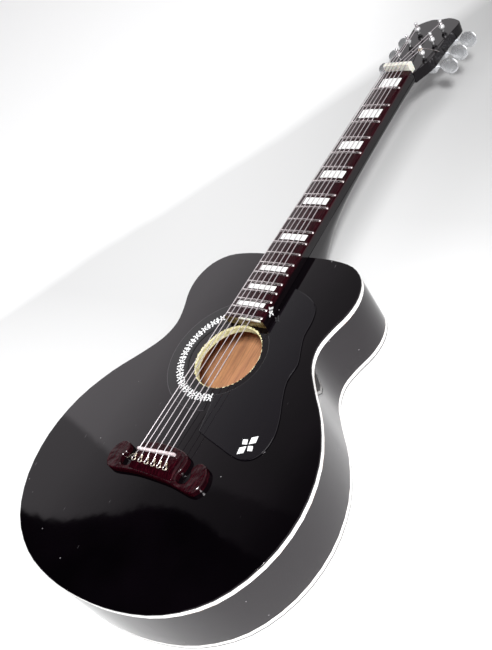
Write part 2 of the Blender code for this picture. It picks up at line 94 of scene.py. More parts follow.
class Nodes:
    """A short hand for one material's node tree."""

    def __init__(self, name):
        self.material = bpy.data.materials.new(name)
        self.material.use_nodes = True
        self.tree = self.material.node_tree
        self.shader = self.tree.nodes["Principled BSDF"]
        self.place = self.new("ShaderNodeTexCoord").outputs["Object"]

    def new(self, kind, **settings):
        node = self.tree.nodes.new(kind)
        for key, value in settings.items():
            setattr(node, key, value)
        return node

    def link(self, a, b):
        self.tree.links.new(a, b)

    def put(self, socket, value):
        if isinstance(value, bpy.types.NodeSocket):
            self.link(value, socket)
        else:
            socket.default_value = value

    def math(self, operation, a, b=0.0):
        node = self.new("ShaderNodeMath", operation=operation)
        self.put(node.inputs[0], a)
        self.put(node.inputs[1], b)
        return node.outputs[0]

    def vector(self, operation, a, b=(0, 0, 0), out=0):
        node = self.new("ShaderNodeVectorMath", operation=operation)
        self.put(node.inputs[0], a)
        self.put(node.inputs[1], b)
        return node.outputs[out]

    def noise(self, scale, detail=3.0, rough=0.5, stretch=None, distort=0.0, seed=0.0):
        """Noise whose scale counts features per millimetre."""
        mapping = self.new("ShaderNodeMapping")
        self.put(mapping.inputs["Vector"], self.place)
        size = stretch or (1, 1, 1)
        mapping.inputs["Scale"].default_value = [scale / MM * s for s in size]
        mapping.inputs["Location"].default_value = (seed, seed * 1.7, seed * 2.3)
        node = self.new("ShaderNodeTexNoise")
        self.link(mapping.outputs[0], node.inputs["Vector"])
        node.inputs["Scale"].default_value = 1.0
        node.inputs["Detail"].default_value = detail
        node.inputs["Roughness"].default_value = rough
        node.inputs["Distortion"].default_value = distort
        return node.outputs["Fac"]

    def cells(self, scale, seed=0.0):
        """Distance to scattered points, scale counting points per millimetre."""
        mapping = self.new("ShaderNodeMapping")
        self.put(mapping.inputs["Vector"], self.place)
        mapping.inputs["Scale"].default_value = (scale / MM,) * 3
        mapping.inputs["Location"].default_value = (seed, seed * 1.7, seed * 2.3)
        node = self.new("ShaderNodeTexVoronoi")
        self.link(mapping.outputs[0], node.inputs["Vector"])
        node.inputs["Scale"].default_value = 1.0
        return node

    def ramp(self, value, *stops):
        node = self.new("ShaderNodeValToRGB")
        elements = node.color_ramp.elements
        while len(elements) < len(stops):
            elements.new(0.5)
        for element, (position, colour) in zip(elements, stops):
            element.position = position
            element.color = grey(colour) if isinstance(colour, (int, float)) else (*colour, 1.0)
        self.put(node.inputs[0], value)
        return node.outputs[0]

    def span(self, value, low, high, first=0.0, last=1.0):
        node = self.new("ShaderNodeMapRange")
        for k, entry in enumerate((value, low, high, first, last)):
            self.put(node.inputs[k], entry)
        return node.outputs[0]

    def mix(self, factor, a, b):
        node = self.new("ShaderNodeMix", data_type="RGBA")
        self.put(node.inputs[0], factor)
        self.put(node.inputs[6], a if isinstance(a, bpy.types.NodeSocket) else (*a, 1.0))
        self.put(node.inputs[7], b if isinstance(b, bpy.types.NodeSocket) else (*b, 1.0))
        return node.outputs[2]

    def mix_value(self, factor, a, b):
        return self.math("ADD", self.math("MULTIPLY", self.math("SUBTRACT", 1.0, factor), a),
                         self.math("MULTIPLY", factor, b))

    def axes(self):
        """x, y and z of the place in millimetres."""
        node = self.new("ShaderNodeSeparateXYZ")
        self.link(self.vector("SCALE", self.place), node.inputs[0])
        node.inputs[0].links[0].from_node.inputs["Scale"].default_value = 1 / MM
        return node.outputs

    def set(self, **values):
        for key, value in values.items():
            self.put(self.shader.inputs[key.replace("_", " ")], value)

    def colour(self, value):
        self.put(self.shader.inputs["Base Color"], value)

    def bump(self, height, strength, distance_mm):
        """Adds a bump below the ones that are there already."""
        node = self.new("ShaderNodeBump")
        node.inputs["Strength"].default_value = strength
        node.inputs["Distance"].default_value = distance_mm * MM
        self.put(node.inputs["Height"], height)
        normal = self.shader.inputs["Normal"]
        if normal.is_linked:
            self.link(normal.links[0].from_socket, node.inputs["Normal"])
        self.link(node.outputs[0], normal)


def grey(value):
    return (value, value, value, 1.0)


def specks(m, scale, size, seed):
    """1 on a few scattered dust specks, 0 elsewhere."""
    cell = m.cells(scale, seed)
    near = m.span(cell.outputs["Distance"], size, size * 0.6)
    chosen = m.new("ShaderNodeSeparateColor")
    m.link(cell.outputs["Color"], chosen.inputs[0])
    rare = m.math("GREATER_THAN", chosen.outputs[0], 0.62)
    return m.math("MULTIPLY", near, rare)


def scratches(m, seed, turn):
    """1 along a few hair scratches, 0 elsewhere."""
    mapping = m.new("ShaderNodeMapping")
    m.link(m.place, mapping.inputs["Vector"])
    mapping.inputs["Rotation"].default_value = (0, 0, turn)
    mapping.inputs["Scale"].default_value = (420.0, 70.0, 60.0)
    mapping.inputs["Location"].default_value = (seed, seed * 1.3, seed * 2.1)
    node = m.new("ShaderNodeTexVoronoi")
    m.link(mapping.outputs[0], node.inputs["Vector"])
    node.inputs["Scale"].default_value = 1.0
    near = m.span(node.outputs["Distance"], 0.06, 0.02)
    chosen = m.new("ShaderNodeSeparateColor")
    m.link(node.outputs["Color"], chosen.inputs[0])
    return m.math("MULTIPLY", near, m.math("GREATER_THAN", chosen.outputs[1], 0.8))


def raw_wood_colour(m, light, dark):
    """Lengthwise grain with slow changes of tone across the boards."""
    grain = m.noise(0.9, 6.0, 0.65, (2.2, 0.12, 1.0), 0.4, 3.0)
    broad = m.noise(0.09, 2.0, 0.5, (1.6, 0.2, 1.0), 0.0, 8.0)
    tone = m.mix(m.span(broad, 0.38, 0.6), light, dark)
    fine = m.ramp(grain, (0.3, 0.62), (0.5, 0.95), (0.72, 1.12))
    node = m.new("ShaderNodeMix", data_type="RGBA", blend_type="MULTIPLY")
    node.inputs[0].default_value = 1.0
    m.link(tone, node.inputs[6])
    m.link(fine, node.inputs[7])
    return node.outputs[2]


def lacquer(name, inside="none", shine=0.5):
    """Polished black lacquer; inside says where bare wood shows, shine how strongly it mirrors."""
    m = Nodes(name)
    m.set(IOR=1.5, Specular_IOR_Level=shine, Specular_Tint=(1.0, 0.93, 0.98, 1.0))
    tone = m.ramp(m.noise(0.05, 2.0), (0.3, (0.0009, 0.0006, 0.0010)),
                  (0.7, (0.0018, 0.0011, 0.0019)))
    dust = m.math("MAXIMUM", specks(m, 0.22, 0.055, 4.0), specks(m, 0.09, 0.03, 11.0))
    lines = m.math("MAXIMUM", scratches(m, 2.0, 0.6), scratches(m, 7.0, 2.1))
    marks = m.math("MAXIMUM", dust, m.math("MULTIPLY", lines, 0.5))
    black = m.mix(m.math("MULTIPLY", marks, 0.35), tone, (0.5, 0.48, 0.5))
    rough = m.span(marks, 0.0, 1.0, 0.035, 0.45)
    if inside == "none":
        m.colour(black)
        m.put(m.shader.inputs["Roughness"], rough)
    else:
        wood = raw_wood_colour(m, (0.78, 0.40, 0.19), (0.48, 0.22, 0.12))
        mask = bare_mask(m, inside)
        if inside == "top":
            cream = m.ramp(m.noise(1.3, 4.0), (0.3, (0.50, 0.44, 0.17)),
                           (0.55, (0.82, 0.76, 0.46)), (0.75, (0.90, 0.86, 0.66)))
            wood = m.mix(bare_mask(m, "edge"), wood, cream)
        m.colour(m.mix(mask, black, wood))
        m.put(m.shader.inputs["Roughness"], m.mix_value(mask, rough, 0.75))
    m.bump(m.noise(0.16, 2.0), 0.12, 0.05)
    return m.material


def bare_mask(m, where):
    """1 where bare wood shows, 0 on lacquer."""
    x, y, z = m.axes()
    if where == "back":
        return m.math("GREATER_THAN", z, 1.5)
    if where == "rim":
        normal = m.new("ShaderNodeNewGeometry").outputs["Normal"]
        middle = m.new("ShaderNodeCombineXYZ")
        m.link(m.span(y, -80.0, -12.0, -80.0 * MM, -12.0 * MM), middle.inputs[1])
        level = m.vector("MULTIPLY", m.vector("SUBTRACT", m.place, middle.outputs[0]), (1, 1, 0))
        inward = m.vector("DOT_PRODUCT", level, normal, 1)
        return m.math("LESS_THAN", inward, 0.0)
    dx = m.math("SUBTRACT", x, HOLE_X)
    dy = m.math("SUBTRACT", y, HOLE_Y)
    radius = m.math("SQRT", m.math("ADD", m.math("MULTIPLY", dx, dx), m.math("MULTIPLY", dy, dy)))
    rough = m.math("SUBTRACT", m.noise(1.1, 4.0, 0.65), 0.5)
    ragged = m.math("ADD", radius, m.math("MULTIPLY", rough, 1.6))
    side = m.span(m.math("SUBTRACT", m.math("MULTIPLY", dy, 0.75), dx), -6.0, 12.0, 0.05, 0.95)
    edge = m.math("LESS_THAN", ragged, m.math("ADD", side, HOLE_R))
    wall = m.math("MULTIPLY", m.math("LESS_THAN", radius, HOLE_R + 0.12),
                  m.math("LESS_THAN", z, TOP - 0.03))
    edge = m.math("MAXIMUM", edge, wall)
    if where == "edge":
        return edge
    return m.math("MAXIMUM", edge, m.math("LESS_THAN", z, TOP - 1.9))


def binding_white():
    m = Nodes("binding_white")
    m.colour(m.ramp(m.noise(0.25, 4.0, 0.6, (1, 1, 3)), (0.3, (0.84, 0.82, 0.79)),
                    (0.7, (0.95, 0.94, 0.93))))
    m.set(Roughness=0.32, IOR=1.48, Coat_Weight=0.5, Coat_Roughness=0.1)
    m.bump(m.noise(0.7, 3.0), 0.25, 0.05)
    return m.material


def saddle_white():
    m = Nodes("saddle_white")
    m.colour(m.ramp(m.noise(1.2, 3.0), (0.35, (0.52, 0.42, 0.43)), (0.65, (0.82, 0.74, 0.76))))
    m.set(Roughness=0.22, IOR=1.5, Coat_Weight=0.8, Coat_Roughness=0.06)
    m.bump(m.noise(1.4, 3.0), 0.35, 0.06)
    return m.material


def cream_plastic():
    m = Nodes("nut_cream")
    m.colour(m.ramp(m.noise(0.5, 3.0), (0.3, (0.62, 0.61, 0.53)), (0.55, (0.72, 0.71, 0.64)),
                    (0.8, (0.84, 0.78, 0.70))))
    m.set(Roughness=0.42, IOR=1.48, Subsurface_Weight=0.12, Subsurface_Scale=0.0006)
    m.bump(m.noise(1.2, 4.0), 0.3, 0.05)
    return m.material


def rosewood(name, bare_end=False, lumpy=False):
    """Dark red-brown stained wood under gloss varnish."""
    m = Nodes(name)
    grain = m.noise(1.4, 6.0, 0.6, (2.4, 0.16, 1.4), 0.5, 5.0)
    pores = m.noise(2.6, 3.0, 0.7, (2.2, 0.10, 1.0), 0.0, 9.0)
    wood = m.ramp(grain, (0.28, (0.004, 0.0005, 0.0012)), (0.5, (0.014, 0.0010, 0.0028)),
                  (0.74, (0.044, 0.0026, 0.0068)))
    wood = m.mix(m.span(pores, 0.62, 0.7, 0.0, 0.65), wood, (0.006, 0.001, 0.002))
    m.set(IOR=1.5, Specular_IOR_Level=0.24)
    if bare_end:
        x, y, z = m.axes()
        end = m.math("LESS_THAN", y, BOARD_LOW.y / MM + 0.12)
        # raw wood on the end face, its own colour darkened further as painted shade
        bare_wood_and_painted_shade = m.ramp(m.noise(1.6, 5.0, 0.7, (1, 1, 0.4)), (0.3, (0.03, 0.012, 0.008)),
                      (0.5, (0.11, 0.075, 0.028)), (0.75, (0.28, 0.21, 0.085)))
        wood = m.mix(end, wood, bare_wood_and_painted_shade)
        low = m.span(z, BOARD_EDGE - 0.9, BOARD_EDGE - 0.25, 1.0, 0.0)
        side = m.math("MULTIPLY", low, m.math("SUBTRACT", 1.0, end))
        wood = m.mix(side, wood, (0.004, 0.0025, 0.0035))
    m.colour(wood)
    m.put(m.shader.inputs["Roughness"], m.span(grain, 0.3, 0.7, 0.07, 0.18))
    m.bump(pores, 0.25, 0.03)
    if lumpy:
        m.bump(m.noise(0.30, 2.5, 0.5), 0.6, 0.30)
    else:
        m.bump(m.noise(0.5, 2.0, 0.5, (1, 0.35, 1)), 0.4, 0.12)
    return m.material


def metal(name, colour, roughness, wear=0.1, scale=1.5, metallic=1.0):
    """Bright metal with duller, rougher spots."""
    m = Nodes(name)
    spots = m.noise(scale, 4.0, 0.65)
    dull = tuple(c * 0.62 for c in colour)
    m.colour(m.mix(m.span(spots, 0.45, 0.75), colour, dull))
    m.set(Metallic=metallic)
    m.put(m.shader.inputs["Roughness"], m.span(spots, 0.35, 0.75, roughness, roughness + wear))
    m.bump(m.noise(scale * 1.3, 3.0), 0.15, 0.03)
    return m.material


def gloss_plastic(name):
    """Black sheet of the pickguard, a little scuffed."""
    m = Nodes(name)
    dust = specks(m, 0.20, 0.05, 21.0)
    m.colour(m.mix(m.math("MULTIPLY", dust, 0.35), (0.0042, 0.0032, 0.0050), (0.5, 0.5, 0.52)))
    m.put(m.shader.inputs["Roughness"], m.span(dust, 0.0, 1.0, 0.06, 0.4))
    m.set(IOR=1.5)
    m.bump(m.noise(0.10, 2.0), 0.2, 0.06)
    return m.material


def film():
    """Clear film on black, with a lighter hairline at its outer edge as a painted highlight, and a
    dull line inside it.
    """
    m = Nodes("film_clear")
    x, y, z = m.axes()
    dx = m.math("SUBTRACT", x, LACE_X)
    dy = m.math("SUBTRACT", y, LACE_Y)
    radius = m.math("SQRT", m.math("ADD", m.math("MULTIPLY", dx, dx), m.math("MULTIPLY", dy, dy)))
    # painted highlight: a lighter hairline along the film's outer edge
    rim = m.math("GREATER_THAN", radius, 20.38)
    ring = m.math("COMPARE", radius, 13.35)
    ring.node.inputs[2].default_value = 0.3
    base = m.mix(rim, (0.0045, 0.0035, 0.0050), (0.045, 0.04, 0.046))
    base = m.mix(ring, base, (0.0008, 0.0008, 0.0008))
    m.colour(base)
    m.put(m.shader.inputs["Roughness"], m.math("ADD", 0.07, m.math("MULTIPLY", ring, 0.3)))
    m.set(IOR=1.5)
    m.bump(m.noise(0.3, 3.0), 0.15, 0.04)
    return m.material


def print_white(name, pearl=False):
    m = Nodes(name)
    if pearl:
        m.colour(m.ramp(m.noise(0.5, 4.0, 0.6, (1, 2, 1), 1.0), (0.3, (0.80, 0.83, 0.81)),
                        (0.55, (0.93, 0.95, 0.93)), (0.8, (0.97, 0.96, 0.97))))
        m.set(Roughness=0.2, IOR=1.55, Coat_Weight=1.0, Coat_Roughness=0.05)
        m.bump(m.noise(1.2, 2.0), 0.2, 0.03)
    else:
        m.colour(m.ramp(m.noise(2.5, 3.0), (0.3, (0.78, 0.79, 0.79)), (0.6, (0.93, 0.94, 0.94))))
        m.set(Roughness=0.4, IOR=1.45, Coat_Weight=0.4, Coat_Roughness=0.1)
        m.bump(m.noise(3.0, 2.0), 0.2, 0.02)
    return m.material


def painted_shade_black(name):
    m = Nodes(name)
    # near-black colour used as painted shade
    m.colour(m.ramp(m.noise(1.5, 3.0), (0.3, (0.001, 0.0008, 0.0008)), (0.7, (0.006, 0.003, 0.003))))
    m.set(Roughness=0.8)
    return m.material


def plain_wood(name):
    m = Nodes(name)
    m.colour(raw_wood_colour(m, (0.60, 0.36, 0.19), (0.45, 0.25, 0.13)))
    m.set(Roughness=0.75)
    m.bump(m.noise(1.0, 4.0, 0.6, (2, 0.15, 1)), 0.3, 0.05)
    return m.material


# ---------------------------------------------------------------- geometry

def rounding(low_degrees):
    """Node group that shades smooth, except across edges sharper than an angle."""
    group = bpy.data.node_groups.new("round_%d" % low_degrees, "GeometryNodeTree")
    group.interface.new_socket("Geometry", in_out="INPUT", socket_type="NodeSocketGeometry")
    group.interface.new_socket("Geometry", in_out="OUTPUT", socket_type="NodeSocketGeometry")
    source = group.nodes.new("NodeGroupInput")
    result = group.nodes.new("NodeGroupOutput")
    angle = group.nodes.new("GeometryNodeInputMeshEdgeAngle")
    above = group.nodes.new("FunctionNodeCompare")
    above.data_type = "FLOAT"
    above.operation = "GREATER_THAN"
    above.inputs[1].default_value = math.radians(low_degrees)
    faces = group.nodes.new("GeometryNodeSetShadeSmooth")
    faces.domain = "FACE"
    edges = group.nodes.new("GeometryNodeSetShadeSmooth")
    edges.domain = "EDGE"
    edges.inputs["Shade Smooth"].default_value = False
    link = group.links.new
    link(source.outputs[0], faces.inputs["Geometry"])
    link(faces.outputs[0], edges.inputs["Geometry"])
    link(angle.outputs["Unsigned Angle"], above.inputs[0])
    link(above.outputs[0], edges.inputs["Selection"])
    link(edges.outputs[0], result.inputs[0])
    return group


ROUND = rounding(32)


def soften(obj, bevel_mm=0.0, segments=2):
    """Joins the split faces of a CAD node, rounds its edges and keeps its flat faces flat to light."""
    mesh = obj.data
    for name in ("custom_normal", "sharp_edge", "sharp_face"):
        if name in mesh.attributes:
            mesh.attributes.remove(mesh.attributes[name])
    weld = obj.modifiers.new("weld", "WELD")
    weld.merge_threshold = 1e-6
    if bevel_mm:
        plane = obj.modifiers.new("flat", "DECIMATE")
        plane.decimate_type = "DISSOLVE"
        plane.angle_limit = math.radians(0.3)
        bevel = obj.modifiers.new("edges", "BEVEL")
        bevel.width = bevel_mm * MM
        bevel.segments = segments
        bevel.limit_method = "ANGLE"
        bevel.angle_limit = math.radians(38)
    smooth = obj.modifiers.new("smooth", "NODES")
    smooth.node_group = ROUND
    if bevel_mm:
        level = obj.modifiers.new("level", "WEIGHTED_NORMAL")
        level.mode = "FACE_AREA"
        level.weight = 100
        level.keep_sharp = True


def piece(name, points, faces, material, body=FIXED, slot=None, smooth=True):
    """A new piece from points in millimetres and faces."""
    mesh = bpy.data.meshes.new(name)
    mesh.from_pydata([Vector(p) * MM for p in points], [], faces)
    mesh.validate()
    mesh.update()
    obj = bpy.data.objects.new(name, mesh)
    bpy.context.scene.collection.objects.link(obj)
    mesh.materials.append(material)
    if smooth:
        obj.modifiers.new("smooth", "NODES").node_group = ROUND
    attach(obj, body)
    return obj


class Build:
    """Collects closed prisms and tubes into one mesh."""

    def __init__(self):
        self.points = []
        self.faces = []

    def add(self, points, faces):
        base = len(self.points)
        self.points += [tuple(p) for p in points]
        self.faces += [tuple(base + k for k in face) for face in faces]

    def prism(self, outline, low, high):
        """A flat shape given as (x, y) corners, between two heights."""
        n = len(outline)
        bottom = [(x, y, low) for x, y in outline]
        top = [(x, y, high) for x, y in outline]
        faces = [tuple(reversed(range(n))), tuple(range(n, 2 * n))]
        faces += [(k, (k + 1) % n, n + (k + 1) % n, n + k) for k in range(n)]
        self.add(bottom + top, faces)

    def ring(self, outer, inner, low, high):
        """A flat ring between two outlines with the same number of corners."""
        n = len(outer)
        points = [(x, y, z) for z in (low, high) for x, y in list(outer) + list(inner)]
        faces = []
        for k in range(n):
            j = (k + 1) % n
            faces.append((k, n + k, n + j, j))
            faces.append((2 * n + k, 2 * n + j, 3 * n + j, 3 * n + k))
            faces.append((k, j, 2 * n + j, 2 * n + k))
            faces.append((n + j, n + k, 3 * n + k, 3 * n + j))
        self.add(points, faces)

    def tube(self, path, radius, sides=8):
        """A round wire along points."""
        path = [Vector(p) for p in path]
        rings = []
        side = None
        for k, p in enumerate(path):
            along = (path[min(k + 1, len(path) - 1)] - path[max(k - 1, 0)]).normalized()
            if side is None:
                side = along.orthogonal().normalized()
            side = (side - along * side.dot(along)).normalized()
            up = along.cross(side)
            rings.append([p + (side * math.cos(a) + up * math.sin(a)) * radius
                          for a in (2 * math.pi * j / sides for j in range(sides))])
        points = [q for ring in rings for q in ring]
        faces = [tuple(reversed(range(sides))), tuple(range(len(points) - sides, len(points)))]
        for k in range(len(rings) - 1):
            for j in range(sides):
                i = (j + 1) % sides
                faces.append((k * sides + j, k * sides + i,
                              (k + 1) * sides + i, (k + 1) * sides + j))
        self.add(points, faces)

    def done(self, name, material, **more):
        return piece(name, self.points, self.faces, material, **more)


def head_point(x, u, h):
    """A point on the tilted headstock: u along it from the nut, h above its face."""
    return Vector((x, NUT_Y + u * math.cos(TILT) + h * math.sin(TILT),
                   HEAD_TOP - u * math.sin(TILT) + h * math.cos(TILT)))


def board_height(x, y):
    """Height of the crowned fretboard."""
    low, high = BOARD_LOW.y / MM, BOARD_HIGH.y / MM
    wide, narrow = BOARD_HALF
    half = wide + (narrow - wide) * (y - low) / (high - low)
    return BOARD_EDGE + BOARD_CROWN * (1 - (x / half) ** 2)


def inlays(material):
    """White blocks let into the fretboard behind nine of the frets."""
    sunk, proud = -0.12, 0.045
    rows = [NUT_LOW.y / MM]
    for number in range(1, 21):
        low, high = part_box("fret_%02d" % number)
        rows.append((low.y + high.y) / 2 / MM)
    random.seed(12)
    for number in (1, 3, 5, 7, 9, 12, 15, 17, 19):
        gap = rows[number - 1] - rows[number]
        first, last = (0.10, 0.56) if number == 1 else (0.26, 0.76)
        y_low = rows[number] + gap * first
        y_high = rows[number] + gap * last
        half = 3.6 + 0.018 * (rows[0] - y_low)
        shift = -0.35 if number == 19 else random.uniform(-0.15, 0.15)
        outline = []
        for k in range(13):
            x = half * (k / 6 - 1)
            outline.append((x + shift, y_low + random.uniform(-0.05, 0.05)))
        for k in range(13):
            x = half * (1 - k / 6)
            outline.append((x + shift + 0.05, y_high + random.uniform(-0.05, 0.05)))
        build = Build()
        # strips, so that the block follows the crown
        for k in range(12):
            a, b = outline[k], outline[k + 1]
            c, d = outline[24 - k], outline[25 - k]
            base = len(build.points)
            if k == 0:
                build.points += [(*p, board_height(*p) + dz) for dz in (sunk, proud) for p in (a, d)]
            build.points += [(*p, board_height(*p) + dz) for dz in (sunk, proud) for p in (b, c)]
            s = base if k == 0 else base - 4
            build.faces += [(s + 2, s + 6, s + 7, s + 3), (s, s + 1, s + 5, s + 4),
                            (s, s + 4, s + 6, s + 2), (s + 1, s + 3, s + 7, s + 5)]
        build.faces.append((0, 2, 3, 1))
        n = len(build.points)
        build.faces.append((n - 4, n - 3, n - 1, n - 2))
        build.done("inlay_%02d" % number, material, slot="white_inlay")


def leaf(cx, cy, length, width, turn, count=8):
    """Outline of a pointed leaf that starts at a point and runs in a direction."""
    points = []
    for k in range(2 * count):
        t = k / count if k < count else 2 - k / count
        sign = 1 if k < count else -1
        across = sign * width / 2 * math.sin(math.pi * t) ** 0.8 if 0 < t < 1 else 0.0
        points.append((cx + length * t * math.cos(turn) - across * math.sin(turn),
                       cy + length * t * math.sin(turn) + across * math.cos(turn)))
    return points


def lobed(cx, cy, radius, depth, lobes, turn, count=24):
    """Outline of a circle with a number of round lobes."""
    return [(cx + (radius + depth * math.cos(lobes * a)) * math.cos(a + turn),
             cy + (radius + depth * math.cos(lobes * a)) * math.sin(a + turn))
            for a in (2 * math.pi * k / count for k in range(count))]


def lace_motif(build, cx, cy, turn, size, low, high):
    """One flower with a hole and four leaves beside it."""
    build.ring(lobed(cx, cy, 0.72 * size, 0.14 * size, 6, turn),
               lobed(cx, cy, 0.27 * size, 0.0, 1, turn), low, high)
    start = 0.62 * size
    for sign in (-1, 1):
        for side in (-1, 1):
            angle = turn + sign * math.radians(58) + (math.pi if side < 0 else 0)
            x, y = cx + start * math.cos(angle), cy + start * math.sin(angle)
            build.prism(leaf(x, y, 1.05 * size, 0.52 * size, angle + sign * 0.25 * side), low, high)


def lace(material):
    """White lace print of the rosette, an open ring, and its cut-off end by the fretboard."""
    build = Build()
    count = 15
    middle = 15.9                    # radius of the row of flowers
    first, last = 115.5, 285.5       # where the open ring starts and ends, in degrees
    for k in range(count):
        a = math.radians(first + (last - first) * k / (count - 1))
        cx, cy = LACE_X + middle * math.cos(a), LACE_Y + middle * math.sin(a)
        lace_motif(build, cx, cy, a + math.pi / 2, 0.96, PRINT_LOW, PRINT_HIGH)
        if k < count - 1:
            b = a + math.radians(0.5 * (last - first) / (count - 1))
            bx, by = LACE_X + middle * math.cos(b), LACE_Y + middle * math.sin(b)
            for turn in (b, b + math.pi):
                build.prism(leaf(bx, by, 1.4, 0.75, turn), PRINT_LOW, PRINT_HIGH)
            for turn in (b + math.pi / 2, b - math.pi / 2):
                build.prism(leaf(bx, by, 0.8, 0.55, turn), PRINT_LOW, PRINT_HIGH)
    build.done("rosette_lace", material, slot="white_inlay", smooth=False)
    # the end is made flat and then stood up against the side of the fretboard
    build = Build()
    lace_motif(build, 0.0, 0.0, 0.9, 1.05, -0.02, 0.05)
    build.prism(leaf(-0.2, 0.4, 1.9, 0.9, -0.9), -0.02, 0.05)
    edge = BOARD_HIGH.x / MM
    build.points = [(edge + z, 98.9 + TAIL - y, 23.2 + x) for x, y, z in build.points]
    build.done("rosette_lace_end", material, slot="white_inlay", smooth=False)


def ornament(material):
    """A plain lozenge of four small rhombi on the pickguard."""
    cx, cy, turn = 25.4, 55.6 + TAIL, math.radians(62)
    c, d = math.cos(turn), math.sin(turn)
    build = Build()
    for along, across, half_a, half_b in ((2.15, 0, 1.75, 1.25), (-2.15, 0, 1.75, 1.25),
                                          (0, 1.6, 1.05, 1.25), (0, -1.6, 1.05, 1.25)):
        px = cx + along * c - across * d
        py = cy + along * d + across * c
        build.prism([(px + a * c - b * d, py + a * d + b * c)
                     for a, b in ((half_a, 0), (0, half_b), (-half_a, 0), (0, -half_b))],
                    TOP + 0.40, TOP + 0.48)
    build.done("pickguard_ornament", material, slot="white_inlay", smooth=False)


def board_end(material):
    """Ragged cream strip along the treble part of the fretboard's end."""
    y = BOARD_LOW.y / MM
    first, length, steps = -1.5, 8.7, 14
    random.seed(5)
    build = Build()
    top = []
    bottom = []
    for k in range(steps + 1):
        x = first + length * k / steps
        z = board_height(x, y) + 0.03
        top.append((x, y + 0.50 + random.uniform(-0.10, 0.10), z))
        bottom.append((x, y - 0.03, z - 0.42 + random.uniform(-0.12, 0.08)))
    points = []
    for (x, ty, z), (bx, by, bz) in zip(top, bottom):
        points += [(x, ty, z - 0.02), (x, ty, z), (x, y - 0.05, z),
                   (bx, by - 0.02, bz), (bx, by + 0.08, bz)]
    n = 5
    faces = [tuple(range(n))]
    for k in range(steps):
        for j in range(n):
            i = (j + 1) % n
            faces.append((k * n + j, (k + 1) * n + j, (k + 1) * n + i, k * n + i))
    faces.append(tuple(reversed(range(steps * n, (steps + 1) * n))))
    build.add(points, faces)
    build.done("fretboard_end_strip", material, slot="cream_nut")


def string_ends(material, dark):
    """Wire ends behind the saddle: coils, eyes and loose tags, one stray end, and black discs of
    painted shade for the string holes.
    """
    random.seed(31)
    pad = BRIDGE_PAD
    eyes = (-7.7, -5.0, -2.3, 0.4, 2.9, 5.4)
    over = (-6.7, -4.8, -2.5, 0.2, 2.8, 5.0)
    eye_y = 41.0 + TAIL
    turns, steps, coil_r = 3.5, 42, 0.27
    for k, ex in enumerate(eyes):
        build = Build()
        a = Vector((ex, eye_y + 0.75, pad + 0.32))
        b = Vector((over[k] * 0.55 + ex * 0.45, eye_y + 2.3, pad + 0.72))
        along = (b - a).normalized()
        side = along.cross(Vector((0, 0, 1))).normalized()
        up = side.cross(along)
        path = []
        for j in range(steps + 1):
            t = j / steps
            angle = 2 * math.pi * turns * t
            spread = coil_r if t < 0.9 else coil_r + (t - 0.9) * 3.0
            path.append(a + (b - a) * t * 0.62 + side * spread * math.cos(angle)
                        + up * spread * math.sin(angle))
        build.tube(path, 0.09)
        ring = []
        for j in range(19):
            angle = 2 * math.pi * j / 18 * 1.06
            ring.append((ex + 0.72 * math.cos(angle), eye_y + 0.68 * math.sin(angle),
                         pad + 0.36 + 0.10 * j / 18))
        build.tube(ring, 0.11)
        swing = random.uniform(-0.7, 0.7)
        tag = [(ex + 0.4, eye_y - 0.35, pad + 0.30),
               (ex + 0.75 + swing * 0.2, eye_y - 0.35, pad + 0.42),
               (ex + 1.10 + swing * 0.3, eye_y - 0.25 - swing * 0.3, pad + 0.30)]
        build.tube(tag, 0.10)
        build.done("string_knot_%d" % (k + 1), material, slot="gold_wire")
    build = Build()
    build.tube([(-7.9, eye_y + 1.4, pad + 0.35), (-9.2, eye_y + 1.0, pad + 0.30),
                (-10.4, eye_y + 0.35, pad - 0.35), (-11.4, eye_y - 0.15, pad - 0.62)], 0.13)
    build.done("string_stray_end", material, slot="gold_wire")
    # black discs of painted shade stand in for the dark insides of the string holes
    build = Build()
    angles = [2 * math.pi * j / 14 for j in range(14)]
    for ex in eyes:
        build.prism([(ex + 0.34 * math.cos(a), eye_y + 0.34 * math.sin(a)) for a in angles],
                    pad - 0.05, pad + 0.015)
    build.done("string_holes_painted_shade", dark, slot="red_brown_wood", smooth=False)


def post_knot(material):
    """Gold knot of the last wire at the post nearest the nut on the treble side."""
    low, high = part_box("post_treble_1")
    build = Build()
    centre = (low + high) / 2 / MM
    path = []
    for j in range(31):
        a = 2 * math.pi * 1.6 * j / 30
        path.append((centre.x + (0.62 + 0.06 * math.sin(3 * a)) * math.cos(a + 0.6),
                     centre.y + 0.62 * math.sin(a + 0.6), high.z / MM - 1.55 + 0.30 * j / 30))
    build.tube(path, 0.13)
    build.done("post_knot", material, slot="gold_wire")


def cover_screws(material):
    """Small domed screws beside the tuner covers on the back of the head."""
    face = -4.0                      # the back of the head below its front
    first, last = 2.5, 31.0          # the stretch of the head that has room for a screw
    sides = 16
    across = Vector((1, 0, 0))
    down = Vector((0, -math.sin(TILT), -math.cos(TILT)))
    fore = down.cross(across)
    rings = ((0.48, -0.05), (0.48, 0.14), (0.36, 0.27), (0.0001, 0.33))
    build = Build()
    for side in ("bass", "treble"):
        for number in (1, 2, 3):
            low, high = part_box("housing_%s_%d" % (side, number))
            x = (low.x + high.x) / 2 / MM
            for y in (low.y / MM - 0.75, high.y / MM + 0.75):
                u = (y - NUT_Y) / math.cos(TILT)
                if u < first or u > last:
                    continue
                place = head_point(x, u, face)
                points = []
                for radius, lift in rings:
                    for j in range(sides):
                        a = 2 * math.pi * j / sides
                        out = across * math.cos(a) + fore * math.sin(a)
                        points.append(place + out * radius + down * lift)
                faces = [tuple(reversed(range(sides))), tuple(range(3 * sides, 4 * sides))]
                for k in range(3):
                    for j in range(sides):
                        i = (j + 1) % sides
                        faces.append((k * sides + j, k * sides + i,
                                      (k + 1) * sides + i, (k + 1) * sides + j))
                build.add(points, faces)
    build.done("cover_screws", material, slot="bright_steel")


# ---------------------------------------------------------------- stage

